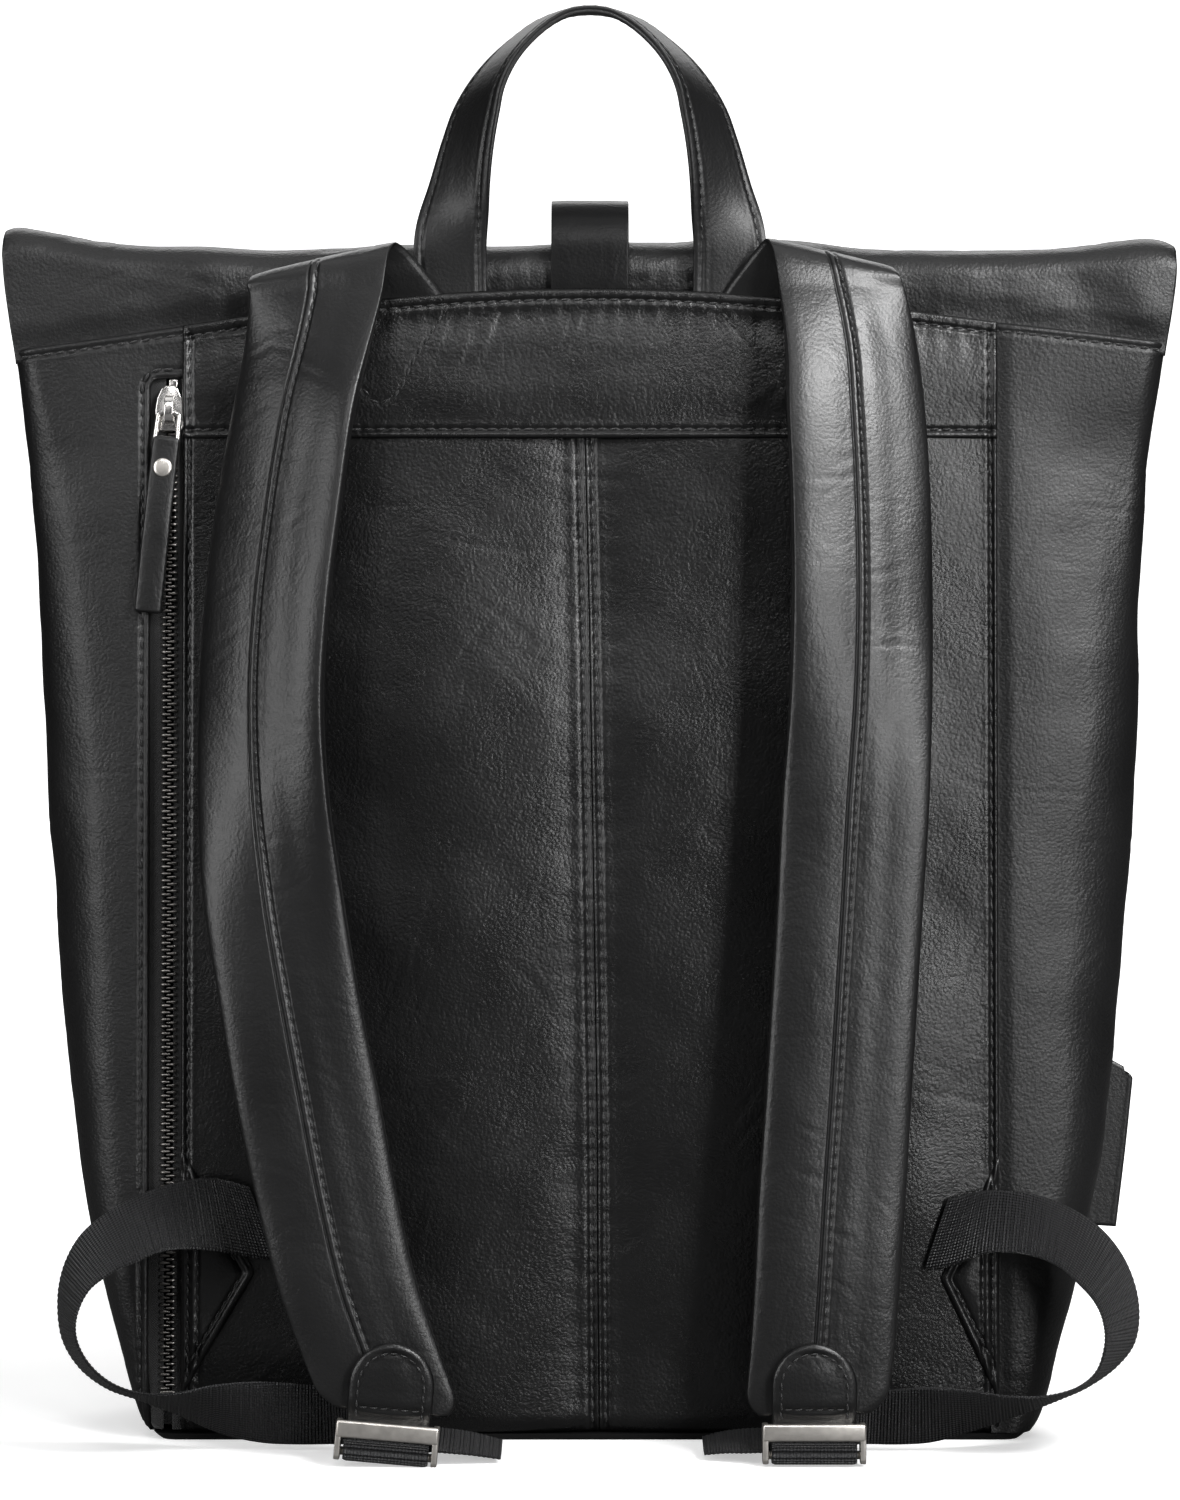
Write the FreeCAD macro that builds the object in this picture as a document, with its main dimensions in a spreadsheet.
import FreeCAD, Part
import math
import os
import Sketcher
from FreeCAD import Placement, Rotation, Vector

# Leather roll-top backpack, in millimetres.  Origin: centre of the base on the ground.
# +Z is up, -Y is the wearer's side (back panel and straps), +Y the front of the bag,
# and +X is to the right when seen from the wearer's side.

os.makedirs("parts", exist_ok=True)

doc = FreeCAD.newDocument("leather_backpack")
sheet = doc.addObject("Spreadsheet::Sheet", "Dimensions")

# ---------------------------------------------------------------- driving dimensions
DIMENSIONS = [
    # body
    ("wall_thickness", 2.0), ("back_lean_deg", 1.432), ("back_foot_depth", 55.0),
    ("seam_half_gap", 0.1), ("side_seam_left", 149.6), ("side_seam_right", 149.6),
    ("yoke_height", 367.5), ("split_depth", 33.0), ("front_panel_top", 398.0),
    ("front_band_top", 429.0), ("ridge_height", 434.0), ("base_thickness", 2.5),
    ("base_half_width", 159.0), ("lining_thickness", 0.6),
    # stiffeners and inside pieces
    ("board_length", 296.0), ("board_width", 84.0), ("board_thickness", 2.0),
    ("board_corner", 16.0),
    ("foam_width", 276.0), ("foam_height", 325.0), ("foam_thickness", 4.0),
    ("foam_corner", 14.0),
    ("sleeve_width", 250.0), ("sleeve_height", 235.0), ("sleeve_thickness", 1.2),
    ("sleeve_corner", 10.0),
    # straps
    ("strap_skin", 1.4), ("strap_foam", 5.4), ("strap_gap", 0.05), ("anchor_thickness", 2.0),
    ("handle_layer", 1.3), ("closure_half_width", 14.25), ("closure_thickness", 2.4),
    ("webbing_thickness", 1.6), ("webbing_width", 30.0),
    # end tab
    ("tab_half_width", 15.0), ("tab_leather", 1.6), ("tab_rise", 27.0), ("tab_corner", 13.0),
    # buckle
    ("bar_half_width", 18.2), ("bar_height", 5.5), ("bar_thickness", 2.5), ("leg_width", 1.8),
    ("leg_length", 14.0), ("pin_radius", 1.5), ("pin_drop", 2.6), ("pin_depth", 3.1),
    ("lower_bar_drop", 11.0),
    # gusset tabs
    ("gusset_thickness", 4.0), ("gusset_left_top", 106.2), ("gusset_left_low", 16.0),
    ("gusset_left_tip", 122.3), ("gusset_left_mid", 61.7), ("gusset_right_top", 103.3),
    ("gusset_right_low", 14.6), ("gusset_right_tip", 127.8), ("gusset_right_mid", 59.5),
    ("gusset_root", 148.4),
    # zip
    ("slot_left", 161.5), ("slot_low", 15.5), ("slot_high", 389.0), ("chain_centre", 154.3),
    ("tooth_pitch", 2.54), ("tooth_length", 3.3), ("tooth_depth", 2.2), ("tooth_height", 1.05),
    ("tape_thickness", 0.6), ("tape_width", 4.0), ("tape_under", 9.2),
    ("slider_half_width", 5.2), ("slider_length", 17.0), ("slider_plate", 1.8),
    ("slider_low", 369.0), ("bail_half_width", 2.5), ("link_wire", 0.8), ("link_drop", 10.5),
    ("pull_half_width", 5.0), ("pull_length", 60.0), ("pull_thickness", 3.4),
    ("rivet_radius", 3.4),
    # snap
    ("snap_radius", 9.0), ("snap_height", 2.2), ("snap_cap_radius", 6.5), ("snap_shank", 2.0),
    # side tab
    ("side_tab_thickness", 2.2), ("side_tab_corner", 4.0),
]

# Body stations: height, half width, front depth, back corner radius, front corner radius.
STATION_COLUMNS = ("height", "half_width", "front", "back_corner", "front_corner")
STATIONS = [
    (2.7, 160.5, 50.0, 8.0, 28.0),
    (6.0, 163.0, 51.5, 9.0, 30.0),
    (12.0, 165.5, 52.5, 9.0, 32.0),
    (40.0, 173.0, 51.5, 10.0, 34.0),
    (70.0, 180.5, 48.5, 13.0, 34.0),
    (100.0, 187.0, 43.5, 16.0, 34.0),
    (137.0, 192.0, 37.0, 19.0, 32.0),
    (200.0, 197.5, 26.0, 21.0, 28.0),
    (250.0, 200.5, 16.0, 20.0, 24.0),
    (300.0, 201.8, 4.5, 17.0, 18.0),
    (350.0, 205.0, -7.6, 12.0, 12.0),
    (400.0, 210.5, -19.0, 7.0, 7.0),
    (434.0, 214.0, -23.0, 5.0, 5.0),
]


def station_alias(index, column):
    return "level_%s_%s" % ("abcdefghijklm"[index], column)


station_cells = [(station_alias(i, column), value) for i, station in enumerate(STATIONS)
                 for column, value in zip(STATION_COLUMNS, station)]
for row, (alias, value) in enumerate(DIMENSIONS + station_cells, 1):
    sheet.set("A%d" % row, alias)
    sheet.set("B%d" % row, str(value))
    sheet.setAlias("B%d" % row, alias)
doc.recompute()


def dim(alias):
    return float(sheet.get(alias))


LEVELS = [tuple(dim(station_alias(i, column)) for column in STATION_COLUMNS)
          for i in range(len(STATIONS))]
FRONT_PROFILE = [(level[0], level[2]) for level in LEVELS]
NODES = {}
X_AXIS, Y_AXIS, Z_AXIS = Vector(1, 0, 0), Vector(0, 1, 0), Vector(0, 0, 1)
FIT = 0.1          # radial clearance of a bore round its pin

LEAN = dim("back_lean_deg")
FOOT = dim("back_foot_depth")
SLOPE = math.tan(math.radians(LEAN))
# Flat frame of the back panel: local x across, y into the bag, z up the panel.
BACK = Placement(Vector(0, -FOOT, 0), Rotation(X_AXIS, -LEAN))


def interpolate(table, x):
    for (x0, y0), (x1, y1) in zip(table, table[1:]):
        if x0 <= x <= x1:
            return y0 + (y1 - y0) * (x - x0) / (x1 - x0)


def back_y(z):
    """Depth of the outside of the back panel at height z."""
    return -FOOT + SLOPE * z


def front_y(z):
    """Depth of the outside of the front at height z."""
    return interpolate(FRONT_PROFILE, z)


# ---------------------------------------------------------------- bound features
def term(value):
    """Number and sheet expression of 'alias', '-alias' or a plain number."""
    if not isinstance(value, str):
        return float(value), None
    if value.startswith("-"):
        return -dim(value[1:]), "-Dimensions." + value[1:]
    return dim(value), "Dimensions." + value


def bind(obj, prop, value):
    number, expression = term(value)
    setattr(obj, prop, number)
    if expression:
        obj.setExpression(prop, expression)


def constrain(sketch, value, kind, *refs):
    """Dimensional constraint, bound to the sheet where the value is an alias."""
    number, expression = term(value)
    index = sketch.addConstraint(Sketcher.Constraint(kind, *refs, number))
    if expression:
        sketch.setExpression("Constraints[%d]" % index, expression)


def hold_point(sketch, geometry, vertex, x, y):
    """Hold a point at x, y from the sketch origin, or on an axis where that is zero."""
    for kind, value, axis in (("DistanceX", x, -2), ("DistanceY", y, -1)):
        if abs(term(value)[0]) < 1e-9:
            sketch.addConstraint(Sketcher.Constraint("PointOnObject", geometry, vertex, axis))
        else:
            constrain(sketch, value, kind, -1, 1, geometry, vertex)


def draw_loop(sketch, points):
    """Closed chain of lines joined end to end."""
    count = len(points)
    for i in range(count):
        start, end = points[i], points[(i + 1) % count]
        sketch.addGeometry(Part.LineSegment(Vector(*start, 0), Vector(*end, 0)), False)
    for i in range(count):
        sketch.addConstraint(Sketcher.Constraint("Coincident", i, 2, (i + 1) % count, 1))


def draw_polygon(sketch, corners):
    draw_loop(sketch, [(term(x)[0], term(y)[0]) for x, y in corners])
    for i, (x, y) in enumerate(corners):
        hold_point(sketch, i, 1, x, y)


def draw_circle(sketch, x, y, radius):
    centre = Vector(term(x)[0], term(y)[0], 0)
    circle = sketch.addGeometry(Part.Circle(centre, Z_AXIS, term(radius)[0]), False)
    constrain(sketch, radius, "Radius", circle)
    hold_point(sketch, circle, 3, x, y)


def new_body(label, placement=Placement()):
    body = doc.addObject("PartDesign::Body", "Body_" + label)
    body.Label = label
    body.Placement = placement
    NODES[label] = body
    return body


def new_sketch(body, name, plane, offset=0.0):
    """Sketch on an origin plane; the XZ plane's normal, and so its offset, runs to -Y."""
    sketch = body.newObject("Sketcher::SketchObject", name)
    support = next(f for f in body.Origin.OriginFeatures if f.Role == plane)
    sketch.AttachmentSupport = [(support, "")]
    sketch.MapMode = "FlatFace"
    sketch.AttachmentOffset = Placement(Vector(0, 0, offset), Rotation())
    return sketch


def pad(body, sketch, name, length, midplane=False):
    feature = body.newObject("PartDesign::Pad", name)
    feature.Profile = sketch
    bind(feature, "Length", length)
    feature.Midplane = midplane
    return feature


def pocket(body, sketch, name, length):
    """Cut through to both sides of the sketch; it has to remove something."""
    doc.recompute()
    before = body.Shape.Volume
    feature = body.newObject("PartDesign::Pocket", name)
    feature.Profile = sketch
    bind(feature, "Length", length)
    feature.Midplane = True
    doc.recompute()
    if not body.Shape.Volume < before - 1e-6:
        raise RuntimeError("pocket %s cuts nothing" % name)


def turned_body(label, placement, sketch_name, feature_name, profile):
    """Body turned about its local z from a profile of radius, height points."""
    body = new_body(label, placement)
    sketch = new_sketch(body, sketch_name, "XZ_Plane")
    draw_polygon(sketch, profile)
    feature = body.newObject("PartDesign::Revolution", feature_name)
    feature.Profile = sketch
    feature.ReferenceAxis = (sketch, ["V_Axis"])
    feature.Angle = 360.0


def fillet(body, base, name, radius, wanted):
    """Round the edges for which wanted(edge) holds."""
    doc.recompute()
    names = ["Edge%d" % (i + 1) for i, edge in enumerate(base.Shape.Edges) if wanted(edge)]
    feature = body.newObject("PartDesign::Fillet", name)
    feature.Base = (base, names)
    bind(feature, "Radius", radius)


def along(edge, axis):
    if len(edge.Vertexes) != 2:
        return False
    span = edge.Vertexes[1].Point.sub(edge.Vertexes[0].Point)
    return span.Length > 1e-6 and abs(abs(span.dot(axis)) / span.Length - 1.0) < 1e-6


def middle(edge):
    return edge.Vertexes[0].Point.add(edge.Vertexes[1].Point).multiply(0.5)


def add_node(label, obj, placement):
    """Label and place a finished Part object as a piece."""
    obj.Label = label
    obj.Placement = placement
    NODES[label] = obj


def coded(label, shape, placement=Placement()):
    """Piece from a shape made by code."""
    feature = doc.addObject("Part::Feature", "Shape_" + label)
    feature.Shape = shape
    add_node(label, feature, placement)


def box_object(name, corner, length, width, height):
    box = doc.addObject("Part::Box", name)
    bind(box, "Length", length)
    bind(box, "Width", width)
    bind(box, "Height", height)
    box.Placement = Placement(Vector(*corner), Rotation())
    return box


def box_on_back(label, name, corner, length, width, height):
    """Box piece given in the frame of the back panel."""
    box = box_object(name, corner, length, width, height)
    add_node(label, box, BACK.multiply(box.Placement))


def cylinder_object(name, base, axis, radius, height):
    cylinder = doc.addObject("Part::Cylinder", name)
    bind(cylinder, "Radius", radius)
    bind(cylinder, "Height", height)
    cylinder.Placement = Placement(Vector(*base), Rotation(Z_AXIS, axis))
    return cylinder


# ---------------------------------------------------------------- coded shapes
def closed_wire(points):
    return Part.makePolygon([Vector(*p) for p in points] + [Vector(*points[0])])


def loft(wires):
    shape = Part.makeLoft(wires, True, True)
    if shape.ShapeType != "Solid":
        shape = shape.Solids[0]
    if shape.Volume < 0:
        shape.reverse()
    return shape


def ribbon(rows, low, high):
    """Band through pairs of edge points (x, y, z, x, y, z), from depth low to high
    along its normal."""
    pairs = [(Vector(*row[:3]), Vector(*row[3:])) for row in rows]
    centres = [(a + b).multiply(0.5) for a, b in pairs]
    wires = []
    for i, (a, b) in enumerate(pairs):
        run = centres[min(i + 1, len(centres) - 1)] - centres[max(i - 1, 0)]
        normal = (b - a).cross(run)
        normal.normalize()
        wires.append(closed_wire([a + normal * low, b + normal * low,
                                  b + normal * high, a + normal * high]))
    return loft(wires)


def strip(stations, low, high):
    """Band across X through (y, z, half width) stations, from depth low to high
    along its normal."""
    wires = []
    for i, (y, z, half_width) in enumerate(stations):
        y0, z0, _ = stations[max(i - 1, 0)]
        y1, z1, _ = stations[min(i + 1, len(stations) - 1)]
        run = Vector(0, y1 - y0, z1 - z0)
        run.normalize()
        normal = X_AXIS.cross(run)
        a = Vector(0, y, z) + normal * low
        b = Vector(0, y, z) + normal * high
        wires.append(closed_wire([(-half_width, a.y, a.z), (half_width, a.y, a.z),
                                  (half_width, b.y, b.z), (-half_width, b.y, b.z)]))
    return loft(wires)


def plan_wire(z, half_width, back, front, back_radius, front_radius):
    """Plan outline of the bag at height z: four sides and four corner arcs."""
    quarter = math.pi / 2
    corners = [
        (half_width - back_radius, back + back_radius, back_radius, -quarter),
        (half_width - front_radius, front - front_radius, front_radius, 0.0),
        (-half_width + front_radius, front - front_radius, front_radius, quarter),
        (-half_width + back_radius, back + back_radius, back_radius, 2 * quarter),
    ]
    arcs = [[Vector(x + radius * math.cos(angle), y + radius * math.sin(angle), z)
             for angle in (start, start + quarter / 2, start + quarter)]
            for x, y, radius, start in corners]
    edges = []
    for i, arc in enumerate(arcs):
        edges.append(Part.Arc(*arc).toShape())
        edges.append(Part.makeLine(arc[2], arcs[(i + 1) % 4][0]))
    return Part.Wire(edges)


def body_loft(side, back, front):
    """Solid inside the bag outline moved inwards by the given amounts."""
    return loft([
        plan_wire(z, half_width - side, back_y(z) + back, front_depth - front,
                  max(back_radius - side, 1.0), max(front_radius - side, 1.0))
        for z, half_width, front_depth, back_radius, front_radius in LEVELS])


def prism_xz(points, y0, y1):
    """Prism from an outline in the XZ plane between two depths."""
    face = Part.Face(closed_wire([(x, y0, z) for x, z in points]))
    return face.extrude(Vector(0, y1 - y0, 0))


def largest_solid(shape):
    return max(shape.Solids, key=lambda solid: solid.Volume)


# ---------------------------------------------------------------- leather shell
REACH_X, REACH_Y = 230.0, 90.0         # past the bag on every side
wall = dim("wall_thickness")
gap = dim("seam_half_gap")
shell = body_loft(0, 0, 0).cut(body_loft(wall, wall, wall))

# Upper seam round the bag: x, z.
SEAM = [(-REACH_X, 395.5), (-148.0, 407.0), (-78.0, 416.5), (0.0, 420.5),
        (78.0, 416.5), (149.0, 408.4), (REACH_X, 398.5)]


def seam_line(x0, x1, shift):
    """Upper seam between the given x, moved by shift in height."""
    inside = [(x, z) for x, z in SEAM if x0 < x < x1]
    points = [(x0, interpolate(SEAM, x0))] + inside + [(x1, interpolate(SEAM, x1))]
    return [(x, z + shift) for x, z in points]


def seam_back(x0, x1):
    """Lower side of the seam, run from x1 back to x0."""
    return seam_line(x0, x1, -gap)[::-1]


side_left = dim("side_seam_left")
side_right = dim("side_seam_right")
panel_left = -side_left + gap          # edges of the panels between the side seams
panel_right = side_right - gap
gusset_left = -side_left - gap         # edges of the side panels
gusset_right = side_right + gap
yoke_z = dim("yoke_height")
split_y = -dim("split_depth")          # side seams between back and front pieces
centre_top_x, centre_low_x = -2.0, 3.0  # slanting centre seam of the back
front_top = dim("front_panel_top")
band_top = dim("front_band_top")
ridge = dim("ridge_height")

# Label, outline (x, z), and the depths between which it is cut from the shell.
SHELL_PIECES = [
    ("back_panel_left",
     [(panel_left, 0), (centre_low_x - gap, 0), (centre_top_x - gap, yoke_z - gap),
      (panel_left, yoke_z - gap)], -REACH_Y, split_y),
    ("back_panel_right",
     [(centre_low_x + gap, 0), (panel_right, 0), (panel_right, yoke_z - gap),
      (centre_top_x + gap, yoke_z - gap)], -REACH_Y, split_y),
    ("back_yoke",
     [(panel_left, yoke_z + gap), (panel_right, yoke_z + gap)]
     + seam_back(panel_left, panel_right), -REACH_Y, split_y),
    ("side_panel_left",
     [(-REACH_X, 0), (gusset_left, 0)] + seam_back(-REACH_X, gusset_left), -REACH_Y, REACH_Y),
    ("side_panel_right",
     [(gusset_right, 0), (REACH_X, 0)] + seam_back(gusset_right, REACH_X), -REACH_Y, REACH_Y),
    ("front_panel",
     [(panel_left, 0), (panel_right, 0), (panel_right, front_top - gap),
      (panel_left, front_top - gap)], split_y, REACH_Y),
    ("top_band_back",
     seam_line(-REACH_X, REACH_X, gap) + [(REACH_X, ridge), (-REACH_X, ridge)],
     -REACH_Y, split_y - gap),
    ("top_band_front",
     [(-REACH_X, SEAM[0][1] + gap), seam_line(-REACH_X, gusset_left, gap)[-1],
      (gusset_left, front_top + gap), (gusset_right, front_top + gap),
      seam_line(gusset_right, REACH_X, gap)[0], (REACH_X, SEAM[-1][1] + gap),
      (REACH_X, band_top), (-REACH_X, band_top)], split_y + gap, REACH_Y),
]

slot_left, slot_low, slot_high = dim("slot_left"), dim("slot_low"), dim("slot_high")
zip_slot = Part.makeBox(slot_left - side_left + 4, 60, slot_high - slot_low,
                        Vector(-slot_left, -REACH_Y, slot_low))
for label, outline, y0, y1 in SHELL_PIECES:
    piece = shell.common(prism_xz(outline, y0, y1))
    if label == "side_panel_left":
        piece = piece.cut(zip_slot)
    coded(label, largest_solid(piece))

# Base panel, flat underneath with a rounded lower edge.  Columns: height, half width and
# back depth relative to the base and foot, front depth, back and front corner radius.
base_thickness = dim("base_thickness")
BASE_ROWS = [
    (0.0, -2.0, 2.6, 48.0, 6.0, 26.0),
    (1.0, -0.6, 1.1, 49.4, 7.4, 27.4),
    (base_thickness, 1.0, 0.4, 50.0, 8.0, 28.0),
]
coded("base_panel", loft([
    plan_wire(z, dim("base_half_width") + widening, -FOOT + inset, *rest)
    for z, widening, inset, *rest in BASE_ROWS]))

# Lining: thin sleeve inside the shell, clear of the back foam, open at both ends,
# with a slot behind the zip.
lining_leaf = dim("lining_thickness")
lining_gap = wall + 0.2
foam_room = dim("foam_thickness") + 0.3
lining_bottom, lining_top = 5.0, 395.0
lining = body_loft(lining_gap, wall + foam_room, lining_gap)
lining = lining.cut(Part.makeBox(500, 300, 10, Vector(-250, -150, lining_bottom - 10)))
lining = lining.cut(Part.makeBox(500, 300, 60, Vector(-250, -150, lining_top)))
lining = lining.cut(body_loft(lining_gap + lining_leaf, wall + foam_room + lining_leaf,
                              lining_gap + lining_leaf))
lining = lining.cut(Part.makeBox(24, 40, 380, Vector(-170, -70, 12)))
coded("lining", largest_solid(lining))

# ---------------------------------------------------------------- stiffeners
board = new_body("base_board", Placement(Vector(0, -2, base_thickness + 0.3), Rotation()))
sketch = new_sketch(board, "BoardOutline", "XY_Plane")
half_length, half_depth = dim("board_length") / 2, dim("board_width") / 2
draw_loop(sketch, [(-half_length, -half_depth), (half_length, -half_depth),
                   (half_length, half_depth), (-half_length, half_depth)])
for line, kind in enumerate(("Horizontal", "Vertical", "Horizontal", "Vertical")):
    sketch.addConstraint(Sketcher.Constraint(kind, line))
sketch.addConstraint(Sketcher.Constraint("Symmetric", 0, 1, 1, 2, -1, 1))
constrain(sketch, "board_length", "DistanceX", 0, 1, 0, 2)
constrain(sketch, "board_width", "DistanceY", 1, 1, 1, 2)
board_pad = pad(board, sketch, "BoardPad", "board_thickness")
fillet(board, board_pad, "BoardCorners", "board_corner", lambda edge: along(edge, Z_AXIS))


def back_sheet(label, blank_name, prefix, depth, low):
    """Sheet with rounded corners lying along the inside of the back panel."""
    blank = box_object(blank_name, (-dim(prefix + "_width") / 2, depth, low),
                       prefix + "_width", prefix + "_thickness", prefix + "_height")
    doc.recompute()
    radius = dim(prefix + "_corner")
    rounded = doc.addObject("Part::Fillet", "Fillet_" + label)
    rounded.Base = blank
    rounded.Edges = [(i + 1, radius, radius) for i, edge in enumerate(blank.Shape.Edges)
                     if along(edge, Y_AXIS)]
    add_node(label, rounded, BACK)


back_sheet("back_foam", "FoamBlank", "foam", wall + 0.15, 28.0)
back_sheet("laptop_sleeve", "SleeveBlank", "sleeve", wall + foam_room + lining_leaf + 0.4, 34.0)

# ---------------------------------------------------------------- roll flap
FLAP_LEATHER = 1.6
# Outer surface of each flap layer, over the ridge: y, z, half width.
OUTER_RIDGE = [(-42.3, 436.6, 215.5), (-38.0, 437.8, 216.0), (-26.0, 438.2, 216.0),
               (-18.6, 436.4, 216.0), (-15.6, 431.0, 215.8), (-14.8, 422.0, 215.4)]
INNER_RIDGE = [(-31.0, 435.6, 213.0), (-25.0, 435.6, 213.0), (-20.4, 434.2, 213.0),
               (-17.9, 430.0, 212.8), (-17.2, 422.0, 212.4)]
# Then down the front of the bag: z, half width.
OUTER_FALL = [(400.0, 214.0), (350.0, 208.2), (300.0, 204.2), (267.0, 202.2)]
INNER_FALL = [(400.0, 211.0), (350.0, 206.0), (300.0, 202.4), (270.0, 200.8)]

for label, ridge_points, fall, stand_off in (
        ("roll_flap_outer", OUTER_RIDGE, OUTER_FALL, 4.2),
        ("roll_flap_inner", INNER_RIDGE, INNER_FALL, 2.2)):
    down = [(front_y(z) + stand_off, z, half_width) for z, half_width in fall]
    coded(label, strip(ridge_points + down, -FLAP_LEATHER, 0.0))

# ---------------------------------------------------------------- closure strap and snap
closure_thickness = dim("closure_thickness")
(low_z, low_front), (high_z, high_front) = FRONT_PROFILE[7:9]    # span holding the snap
snap_slope = math.degrees(math.atan2(low_front - high_front, high_z - low_z))
snap_z = 238.0
# Local z of the snap points out of the front.
SNAP = Placement(Vector(0, front_y(snap_z), snap_z), Rotation(X_AXIS, -90.0 + snap_slope))
SNAP_NORMAL = Vector(0, math.cos(math.radians(snap_slope)), math.sin(math.radians(snap_slope)))


def closure_strip(path, low, high):
    """Band as wide as the closure strap through y, z points."""
    return strip([(y, z, dim("closure_half_width")) for y, z in path], low, high)


def off_front(z, distance):
    """y, z of a point off the front, along the snap's normal."""
    return (front_y(z) + distance * SNAP_NORMAL.y, z + distance * SNAP_NORMAL.z)


# Fixed root at the yoke seam.
coded("closure_strap_anchor", closure_strip(
    [(back_y(421) - 0.4, 421.0), (back_y(431) - 0.6, 430.5)], 0.0, 2.2))

# Outer surface of the bridge over the roll: y, z.
BRIDGE = [(-47.2, 433.6), (-46.6, 440.0), (-43.5, 447.0), (-37.5, 452.6), (-30.0, 454.6),
          (-22.0, 453.0), (-15.0, 448.0), (-10.6, 440.0), (-8.9, 430.5)]
coded("closure_strap_bridge", closure_strip(BRIDGE, -closure_thickness, 0.0))

# Tail hanging down the front, with a hole for the snap's shank.
tail_path = [(-8.6, 427.0), (-8.2, 405.0)]
tail_path += [(front_y(z) + 7.8, z) for z in (350.0, 300.0, 267.0)]
tail_path += [off_front(z, 7.45) for z in (250.0, 232.0, 222.0)]
shank_hole = Part.makeCylinder(dim("snap_shank") + 0.05, 12.0,
                               SNAP.Base + SNAP_NORMAL * 3.0, SNAP_NORMAL)
coded("closure_strap_tail",
      closure_strip(tail_path, -closure_thickness, 0.0).cut(shank_hole))

turned_body("snap_female", Placement(SNAP.Base + SNAP_NORMAL * 0.15, SNAP.Rotation),
            "FemaleProfile", "FemaleDisc",
            [(0, 0), ("snap_radius", 0), ("snap_radius", 1.4), (7.6, "snap_height"),
             (0, "snap_height")])
turned_body("snap_male", Placement(SNAP.Base + SNAP_NORMAL * 2.6, SNAP.Rotation),
            "MaleProfile", "MaleDisc",
            [(0, 0), (8.4, 0), (8.4, 1.5), (7.4, 2.3), ("snap_shank", 2.3),
             ("snap_shank", 5.0), ("snap_cap_radius", 5.0), (5.6, 6.1), (0, 6.5)])

# ---------------------------------------------------------------- carry handle
# Left half of the arch, from its foot up: x, y, z of the outer and of the inner edge.
HANDLE_LEFT = [
    (-64.8, -48.9, 426.5, -37.8, -49.5, 426.5), (-64.6, -48.0, 439.0, -37.8, -50.4, 439.0),
    (-59.0, -41.1, 460.4, -36.8, -57.3, 458.1), (-53.9, -39.1, 477.2, -35.3, -59.3, 474.2),
    (-49.8, -38.2, 488.4, -33.5, -60.2, 485.0), (-45.1, -37.2, 496.7, -32.0, -61.2, 492.9),
    (-38.1, -36.5, 505.7, -28.3, -61.9, 501.5), (-28.1, -36.0, 514.7, -21.8, -62.4, 510.1),
    (-18.1, -36.2, 521.3, -13.9, -62.2, 516.9), (-7.0, -35.8, 524.8, -6.0, -62.6, 520.6),
]
handle_arch = HANDLE_LEFT + [(-x0, y0, z0, -x1, y1, z1)
                             for x0, y0, z0, x1, y1, z1 in reversed(HANDLE_LEFT)]
LAYER_GAP = 0.03       # from the middle surface to each layer
handle_layer = dim("handle_layer")
coded("handle_outer", ribbon(handle_arch, LAYER_GAP, handle_layer))
coded("handle_lining", ribbon(handle_arch, -handle_layer, -LAYER_GAP))

# ---------------------------------------------------------------- shoulder straps
# Wearer's side of each strap, from the top down: x, y, z of its left and right edge.
STRAP_ROWS = {
    "left": [
        (-122.1, -58.6, 417.1, -75.9, -72.4, 414.0), (-125.6, -60.2, 398.3, -79.8, -80.8, 395.4),
        (-128.9, -63.0, 379.6, -83.8, -88.0, 377.0), (-135.1, -66.8, 342.7, -88.8, -95.2, 341.0),
        (-138.9, -71.9, 306.3, -92.8, -100.1, 305.3),
        (-140.6, -77.4, 270.2, -94.7, -102.6, 269.9),
        (-140.4, -83.4, 234.3, -92.6, -102.6, 234.5), (-137.9, -90.7, 198.8, -87.5, -99.3, 199.1),
        (-132.1, -95.4, 163.4, -81.5, -98.6, 163.6), (-125.8, -99.0, 128.2, -74.4, -99.0, 128.2),
        (-118.2, -101.0, 93.0, -67.9, -101.0, 93.0), (-109.2, -103.0, 57.9, -59.4, -103.0, 57.9),
        (-102.7, -104.0, 40.4, -53.3, -104.0, 40.4), (-94.6, -105.0, 22.9, -46.4, -105.0, 19.4),
    ],
    "right": [
        (69.5, -72.0, 414.2, 116.8, -58.6, 417.0), (70.7, -78.4, 395.7, 119.1, -61.6, 397.9),
        (70.9, -82.9, 377.6, 121.1, -66.1, 379.1), (72.1, -88.4, 341.4, 122.9, -73.6, 342.3),
        (72.2, -93.1, 305.6, 123.2, -78.9, 306.1), (71.1, -93.6, 270.0, 122.6, -86.4, 270.1),
        (68.3, -93.0, 234.4, 121.0, -93.0, 234.4), (66.4, -95.0, 198.9, 118.7, -95.0, 198.9),
        (64.2, -97.0, 163.5, 116.4, -97.0, 163.5), (62.0, -99.0, 128.2, 114.1, -99.0, 128.2),
        (59.4, -101.0, 93.0, 111.8, -101.0, 93.0), (57.6, -103.0, 57.9, 109.2, -103.0, 57.9),
        (56.5, -104.0, 40.4, 107.7, -104.0, 40.4), (55.2, -105.0, 20.9, 104.9, -105.0, 20.9),
    ],
}
# Fold at the top of each strap, in the same columns.
FOLD = {
    "left": (-123.6, -57.4, 421.3, -71.2, -60.6, 433.6),
    "right": (64.6, -60.6, 435.2, 110.4, -57.4, 424.6),
}
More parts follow.
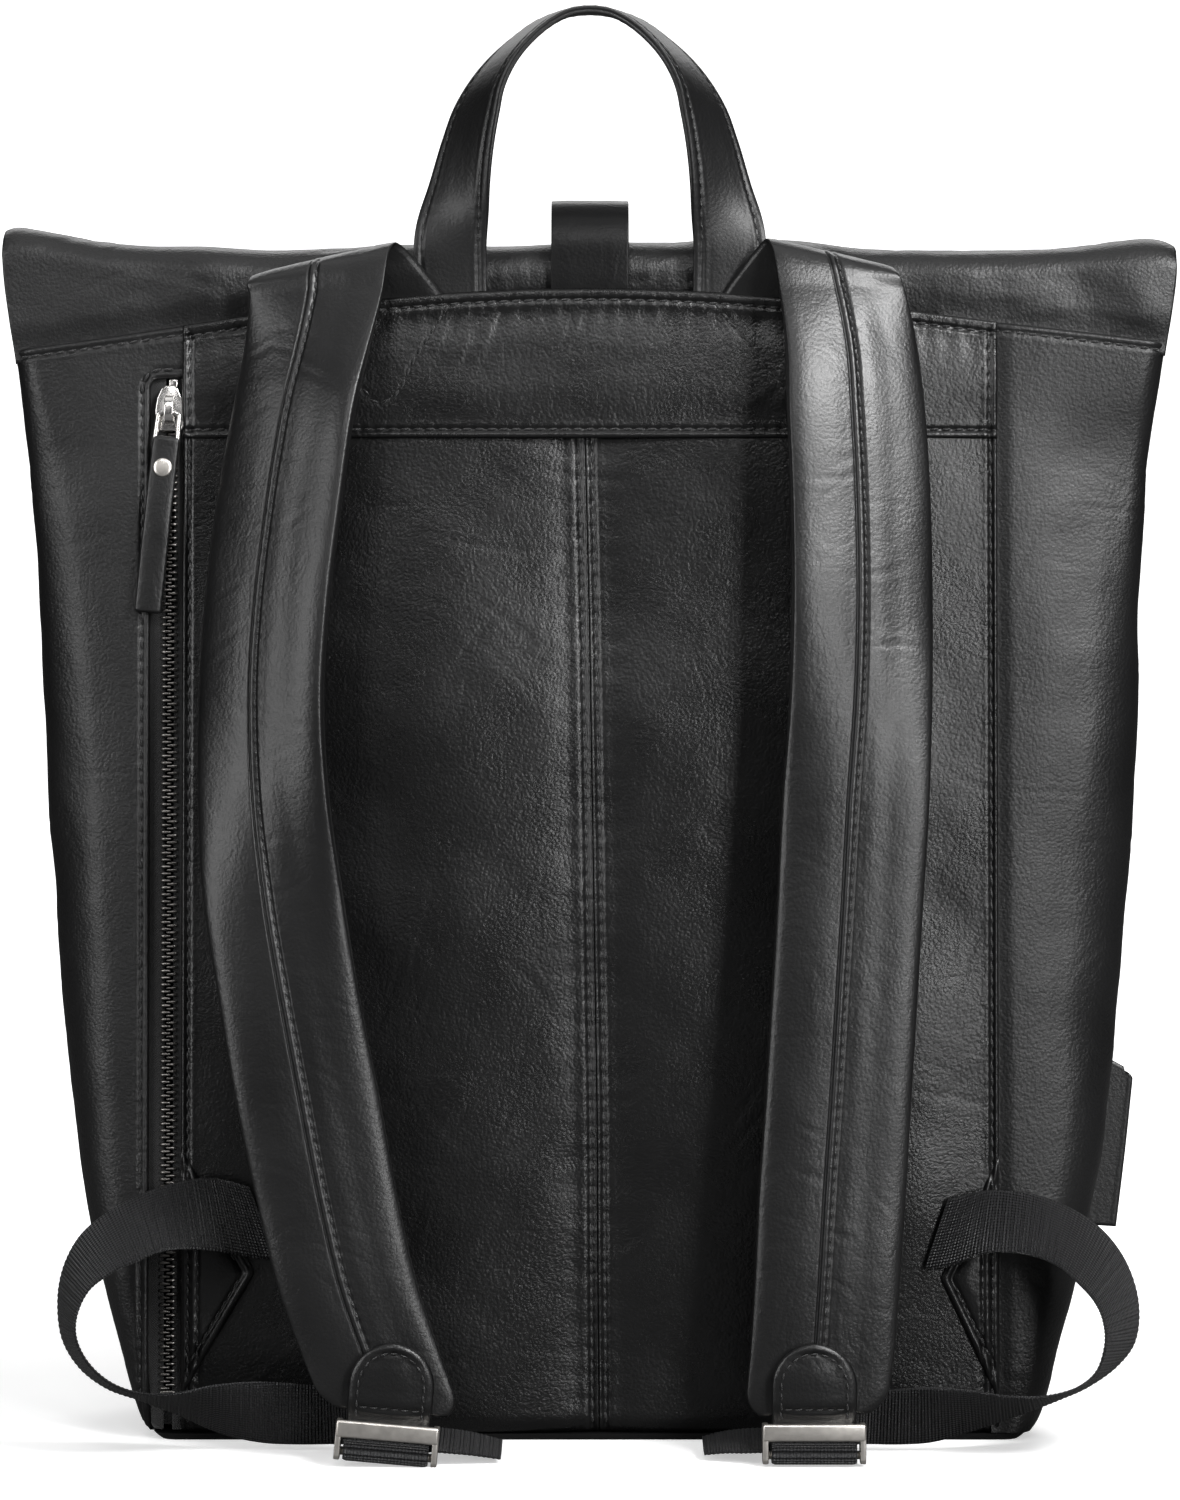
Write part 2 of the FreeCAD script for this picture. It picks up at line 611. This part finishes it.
# Anchor leather between the yoke seam and the fold, from the seam up.  Its root and middle
# keep off the back panel; the outer edge is the one further from the bag's centre.
root_outer_y, root_inner_y = back_y(413) - 0.6, back_y(419) - 0.6
middle_outer_y, middle_inner_y = back_y(418) - 2.6, back_y(428) - 2.6
ANCHOR_ROWS = {
    "left": [
        (-112.0, root_outer_y, 412.6, -67.0, root_inner_y, 418.0),
        (-117.5, middle_outer_y, 418.6, -68.0, middle_inner_y, 428.2),
        (-122.6, -52.6, 423.9, -70.0, -53.4, 436.4),
    ],
    "right": [
        (66.6, root_inner_y, 418.0, 101.0, root_outer_y, 413.4),
        (66.6, middle_inner_y, 428.6, 105.6, middle_outer_y, 420.6),
        (66.8, -53.4, 437.4, 109.6, -52.6, 427.4),
    ],
}
skin, core, layer_gap = dim("strap_skin"), dim("strap_foam"), dim("strap_gap")
foam_start = skin + layer_gap
backing_start = skin + core + 2 * layer_gap
for side, rows in STRAP_ROWS.items():
    # Layers run from the wearer's side towards the bag; only the face reaches the fold.
    coded("strap_%s_face" % side, ribbon([FOLD[side]] + rows, 0.0, skin))
    coded("strap_%s_foam" % side, ribbon(rows[1:], foam_start, foam_start + core))
    coded("strap_%s_backing" % side, ribbon(rows[1:], backing_start, backing_start + skin))
    coded("strap_%s_anchor" % side, ribbon(ANCHOR_ROWS[side], 0.0, dim("anchor_thickness")))

# ---------------------------------------------------------------- end tabs and buckles
BUCKLE_PLACES = {
    "left": Placement(Vector(-71.0, -108.6, 15.2), Rotation(Y_AXIS, 5.0)),
    "right": Placement(Vector(78.9, -108.6, 15.0), Rotation(Y_AXIS, 0.0)),
}
pin_radius = dim("pin_radius")
bar_half_width = dim("bar_half_width")


def end_tab(side, place):
    """Leather tab on the strap's end, looped at its lower end round the buckle pin."""
    half_width, leather, rise = dim("tab_half_width"), dim("tab_leather"), dim("tab_rise")
    strap_side = 1.6                   # depth of the tab's face against the strap
    inner_radius = pin_radius + FIT
    outer_radius = inner_radius + leather
    pin_y, pin_z = dim("pin_depth"), -dim("pin_drop")
    steps = 12
    angles = [math.pi * i / steps for i in range(steps + 1)]
    # Section of the band: y, z.
    section = [(pin_y - inner_radius, pin_z), (pin_y - inner_radius, 1.2),
               (strap_side, 4.6), (strap_side, rise),
               (strap_side - leather, rise), (strap_side - leather, 4.2),
               (pin_y - outer_radius, 0.8), (pin_y - outer_radius, pin_z)]
    section += [(pin_y - outer_radius * math.cos(a), pin_z - outer_radius * math.sin(a))
                for a in angles[1:]]
    section += [(pin_y + outer_radius, 1.0), (pin_y + inner_radius, 1.0)]
    section += [(pin_y + inner_radius * math.cos(a), pin_z - inner_radius * math.sin(a))
                for a in angles[:-1]]
    face = Part.Face(closed_wire([(-half_width, y, z) for y, z in section]))
    band = face.extrude(Vector(2 * half_width, 0, 0))
    # The upper end is rounded by a block with two round corners.
    block = Part.makeBox(2 * half_width, 20, rise + 10, Vector(-half_width, -8, -10))
    block = block.makeFillet(dim("tab_corner"), [
        edge for edge in block.Edges if along(edge, Y_AXIS) and middle(edge).z > rise - 1])
    coded("strap_%s_end_tab" % side, largest_solid(band.common(block)), place)


def buckle(side, place):
    """Flat bar on the wearer's side, two legs, a pin for the tab, a bar for the webbing."""
    body = new_body("buckle_%s" % side, place)
    sketch = new_sketch(body, "BarOutline_" + side, "XZ_Plane", 0.7)
    draw_polygon(sketch, [("-bar_half_width", "-bar_height"), ("bar_half_width", "-bar_height"),
                          ("bar_half_width", 0), ("-bar_half_width", 0)])
    pad(body, sketch, "FrontBar_" + side, "bar_thickness")
    for sketch_name, pad_name, offset in (
            ("LegOutline_", "LegRight_", bar_half_width - dim("leg_width")),
            ("LegOutlineLeft_", "LegLeft_", -bar_half_width)):
        sketch = new_sketch(body, sketch_name + side, "YZ_Plane", offset)
        draw_polygon(sketch, [(-3.2, "-leg_length"), (2.0, "-leg_length"), (5.2, -5.5),
                              (5.2, 0), (-3.2, 0)])
        pad(body, sketch, pad_name + side, "leg_width")
    for sketch_name, pad_name, y, z in (
            ("PinOutline_", "TabPin_", "pin_depth", "-pin_drop"),
            ("LowerOutline_", "LowerBar_", 0, "-lower_bar_drop")):
        sketch = new_sketch(body, sketch_name + side, "YZ_Plane")
        draw_circle(sketch, y, z, "pin_radius")
        pad(body, sketch, pad_name + side, 2 * bar_half_width - 0.4, midplane=True)


def webbing_wrap(side, place):
    """Webbing folded round the lower bar."""
    wrap = doc.addObject("Part::Cut", "Cut_webbing_wrap_" + side)
    wrap.Base = box_object("WrapBlank_" + side, (-dim("webbing_width") / 2, -4.4, -13.9),
                           "webbing_width", 8.6, 7.6)
    wrap.Tool = cylinder_object("WrapBore_" + side, (-30, 0, -dim("lower_bar_drop")), X_AXIS,
                                pin_radius + FIT, 60.0)
    add_node("webbing_wrap_%s" % side, wrap, place)


for side, place in BUCKLE_PLACES.items():
    end_tab(side, place)
    buckle(side, place)
    webbing_wrap(side, place)

# ---------------------------------------------------------------- webbing
# Middle surface of each band: x, y, z of one edge and of the other.  The loops run from
# the lower back panel out past the side, down, and back in near the ground.
WEBBING = {
    "webbing_tail_left": [
        (-51.0, -110.5, 3.0, -51.0, -86.0, 10.6), (-42.0, -109.0, 3.4, -42.0, -84.0, 9.6),
        (-31.0, -107.0, 2.4, -31.0, -81.0, 6.4),
    ],
    "webbing_tail_right": [
        (58.6, -110.5, 3.0, 58.6, -86.0, 10.6), (50.0, -106.0, 3.4, 50.0, -82.0, 9.6),
        (40.0, -100.0, 3.4, 40.0, -76.0, 6.4),
    ],
    "webbing_loop_left": [
        (-129.1, -61.0, 94.8, -119.2, -61.0, 66.1), (-141.9, -60.5, 96.5, -136.4, -76.0, 71.7),
        (-159.9, -62.0, 92.3, -152.2, -83.0, 72.5), (-173.9, -66.0, 85.5, -162.3, -89.0, 69.3),
        (-184.3, -70.0, 76.9, -170.6, -94.5, 65.7), (-189.7, -73.0, 66.5, -177.7, -100.0, 60.3),
        (-191.6, -75.0, 54.1, -181.5, -103.5, 51.6), (-189.7, -76.0, 39.9, -180.9, -105.5, 43.0),
        (-183.5, -76.0, 29.8, -176.3, -105.8, 35.0), (-174.7, -75.0, 22.8, -169.4, -105.0, 28.9),
        (-162.3, -73.0, 17.8, -159.0, -103.0, 24.8), (-149.7, -73.0, 14.0, -146.7, -102.0, 23.8),
        (-135.1, -75.0, 7.6, -132.8, -100.0, 24.9), (-118.6, -77.0, 3.2, -117.0, -98.0, 25.0),
        (-104.1, -77.5, 1.6, -102.9, -95.0, 24.0),
    ],
    "webbing_loop_right": [
        (135.2, -61.0, 90.1, 126.5, -61.0, 63.2), (149.2, -60.5, 92.1, 145.4, -76.0, 71.0),
        (163.5, -62.0, 90.2, 158.4, -83.0, 70.7), (175.7, -66.0, 85.5, 166.9, -89.0, 67.8),
        (186.1, -70.0, 78.0, 173.4, -94.5, 62.4), (194.0, -73.0, 66.5, 178.4, -100.0, 56.8),
        (197.7, -75.0, 52.3, 181.2, -103.5, 50.2), (196.1, -76.0, 39.1, 181.6, -105.5, 42.3),
        (190.0, -76.0, 30.9, 179.1, -105.8, 33.6), (180.1, -75.0, 23.5, 172.9, -105.0, 27.4),
        (167.7, -73.0, 17.4, 162.5, -103.0, 23.9), (152.2, -73.0, 12.5, 148.5, -102.0, 22.3),
        (136.9, -75.0, 7.6, 133.8, -100.0, 22.8), (122.2, -77.0, 3.2, 120.5, -98.0, 23.2),
        (110.6, -77.5, 1.6, 110.3, -95.0, 22.6),
    ],
}
half_webbing = dim("webbing_thickness") / 2
for label, rows in WEBBING.items():
    coded(label, ribbon(rows, -half_webbing, half_webbing))

# ---------------------------------------------------------------- gusset tabs
# Triangles on the outside of the lower back panel, pointing inwards from the side seams.
ON_BACK = Placement(Vector(0, -FOOT - 0.2, 0), Rotation(X_AXIS, -LEAN))
for side, sign in (("left", "-"), ("right", "")):
    tab = new_body("gusset_tab_%s" % side, ON_BACK)
    sketch = new_sketch(tab, "GussetOutline_" + side, "XZ_Plane")
    root = sign + "gusset_root"
    tip = sign + "gusset_%s_tip" % side
    draw_polygon(sketch, [(root, "gusset_%s_low" % side), (tip, "gusset_%s_mid" % side),
                          (root, "gusset_%s_top" % side)])
    pad(tab, sketch, "GussetPad_" + side, "gusset_thickness")

# ---------------------------------------------------------------- zip tapes, teeth and stops
# The whole zip is laid out in the frame of the back panel, where -y is outwards.
chain_x = -dim("chain_centre")
tape_low = slot_low + 0.3
tape_height = slot_high - slot_low - 0.6
tape_leaf = "tape_thickness"
box_on_back("zip_tape_left", "TapeLeft", (-slot_left + 0.1, 0.9, tape_low),
            "tape_width", tape_leaf, tape_height)
box_on_back("zip_tape_right", "TapeRight", (-151.3, wall + 0.15, tape_low),
            "tape_under", tape_leaf, tape_height)

slider_low = dim("slider_low")
tooth_pitch = dim("tooth_pitch")
tooth_size = (dim("tooth_length"), dim("tooth_depth"), dim("tooth_height"))
CHAIN_Y = 0.1          # outer side of the teeth and stops
FIRST_TOOTH = 19.0


def teeth(x, z):
    """One row of teeth from height z up into the slider."""
    solids = []
    while z < slider_low + 10.0:
        solids.append(Part.makeBox(*tooth_size, Vector(x, CHAIN_Y, z)))
        z += tooth_pitch
    return Part.makeCompound(solids)


coded("zip_teeth_left", teeth(chain_x - 2.9, FIRST_TOOTH), BACK)
coded("zip_teeth_right", teeth(chain_x - 0.4, FIRST_TOOTH + tooth_pitch / 2), BACK)
box_on_back("zip_top_stop", "TopStop", (-154.6, CHAIN_Y, 385.6), 3.0, 2.4, 3.0)
box_on_back("zip_bottom_stop", "BottomStop", (-157.0, CHAIN_Y, 16.2), 5.4, 2.4, 2.2)

# ---------------------------------------------------------------- zip slider
slider_half, bail_half = dim("slider_half_width"), dim("bail_half_width")
link_bore = dim("link_wire") + FIT
pin_y, pin_z = -3.6, slider_low + 5.5          # link pin through the bail
slider = new_body("zip_slider", BACK)


def slider_layer(sketch_name, pad_name, offset, length, outline):
    """Plate of the slider; outline in x from the chain, z from the slider's low end."""
    sketch = new_sketch(slider, sketch_name, "XZ_Plane", offset)
    draw_polygon(sketch, [(chain_x + x, slider_low + z) for x, z in outline])
    pad(slider, sketch, pad_name, length)


# Plate and bail outside the teeth.
slider_length = dim("slider_length")
slider_layer("SliderFront", "FrontPlate", 0.05, "slider_plate", [
    (-slider_half, 0.0), (slider_half, 0.0), (slider_half, 12.0),
    (slider_half - 2.2, slider_length), (-slider_half + 2.2, slider_length),
    (-slider_half, 12.0)])
slider_layer("SliderBail", "Bail", 1.85, 3.6, [
    (-bail_half, 2.6), (bail_half, 2.6), (bail_half, 12.6), (-bail_half, 12.6)])
# Post through the chain, and the plate inside the teeth.
sketch = new_sketch(slider, "SliderPost", "XZ_Plane", -2.6)
draw_circle(sketch, chain_x, slider_low + 13.6, 0.9)
pad(slider, sketch, "Post", 2.7)
slider_layer("SliderBack", "BackPlate", -3.8, 1.25, [
    (-3.2, 2.0), (2.6, 2.0), (2.6, 16.0), (-3.2, 16.0)])
sketch = new_sketch(slider, "BailHole", "YZ_Plane", chain_x)
draw_circle(sketch, pin_y, pin_z, link_bore)
pocket(slider, sketch, "BailBore", 12.0)

# ---------------------------------------------------------------- zip link, pull and rivet
# Rectangular wire link hanging from the bail.
foot_z = pin_z - dim("link_drop")
arm_offset = 4.0
link_left, link_right = chain_x - arm_offset, chain_x + arm_offset
link = doc.addObject("Part::MultiFuse", "Join_zip_link")
link.Shapes = [
    cylinder_object("LinkPin", (link_left, pin_y, pin_z), X_AXIS, "link_wire", 2 * arm_offset),
    cylinder_object("LinkArmA", (link_left, pin_y, foot_z), Z_AXIS, "link_wire", "link_drop"),
    cylinder_object("LinkArmB", (link_right, pin_y, foot_z), Z_AXIS, "link_wire", "link_drop"),
    cylinder_object("LinkFoot", (link_left, pin_y, foot_z), X_AXIS, "link_wire",
                    2 * arm_offset),
]
link.Refine = True
add_node("zip_link", link, BACK)

# Pull hung on the link's foot: x from the chain, z from the foot.
pull_half, pull_length = dim("pull_half_width"), dim("pull_length")
half_pull = dim("pull_thickness") / 2
rivet_z = foot_z - 8.6
neck_half = 2.9
PULL_OUTLINE = [
    (-pull_half + 1.2, -pull_length), (pull_half - 1.2, -pull_length),
    (pull_half, -pull_length + 1.6), (pull_half, -2.4),
    (neck_half, -1.3), (neck_half, 2.2), (-neck_half, 2.2), (-neck_half, -1.3),
    (-pull_half, -2.4), (-pull_half, -pull_length + 1.6),
]
pull = new_body("zip_pull", BACK)
sketch = new_sketch(pull, "PullOutline", "XZ_Plane", -pin_y - half_pull)
draw_polygon(sketch, [(chain_x + x, foot_z + z) for x, z in PULL_OUTLINE])
pad(pull, sketch, "PullPad", "pull_thickness")
sketch = new_sketch(pull, "PullBore", "YZ_Plane", chain_x)
draw_circle(sketch, pin_y, foot_z, link_bore)
pocket(pull, sketch, "PullLoop", 12.0)
sketch = new_sketch(pull, "RivetBore", "XZ_Plane", -pin_y)
draw_circle(sketch, chain_x, rivet_z, 1.1)
pocket(pull, sketch, "RivetHole", 8.0)

# Rivet through the pull, its domed head outwards.
rivet_shank = 1.05
inner_face, outer_face = -half_pull - 0.05, half_pull + 0.05
rivet_place = Placement(Vector(chain_x, pin_y, rivet_z), Rotation(X_AXIS, 90.0))
turned_body("zip_pull_rivet", BACK.multiply(rivet_place), "RivetProfile", "RivetTurn",
            [(0, -half_pull - 0.8), (2.4, -half_pull - 0.8), (2.4, inner_face),
             (rivet_shank, inner_face), (rivet_shank, outer_face),
             ("rivet_radius", outer_face), (3.2, half_pull + 0.6),
             (1.6, half_pull + 1.15), (0, half_pull + 1.25)])

# ---------------------------------------------------------------- small tab on the right side
side_tab = new_body("side_tab_right")
sketch = new_sketch(side_tab, "SideTabOutline", "XZ_Plane")
draw_polygon(sketch, [(184.4, 74.0), (193.6, 135.0), (206.0, 131.0), (199.6, 76.0)])
side_pad = pad(side_tab, sketch, "SideTabPad", "side_tab_thickness", midplane=True)
# Only the two corners away from the bag are rounded.
fillet(side_tab, side_pad, "SideTabRound", "side_tab_corner",
       lambda edge: along(edge, Y_AXIS) and middle(edge).x > 198.0)

# ---------------------------------------------------------------- checks and export
doc.recompute()
for obj in doc.Objects:
    bad = [state for state in obj.State if state in ("Invalid", "Error")]
    if bad:
        raise RuntimeError("%s (%s) is %s" % (obj.Name, obj.Label, bad))
for label, obj in NODES.items():
    shape = obj.Shape
    if shape.isNull() or not shape.isValid() or not shape.Solids:
        raise RuntimeError("%s has no valid shape" % label)
    if obj.Label != label:
        raise RuntimeError("label of %s is %s" % (label, obj.Label))
for label, obj in NODES.items():
    obj.Shape.exportStep("parts/%s.step" % label)
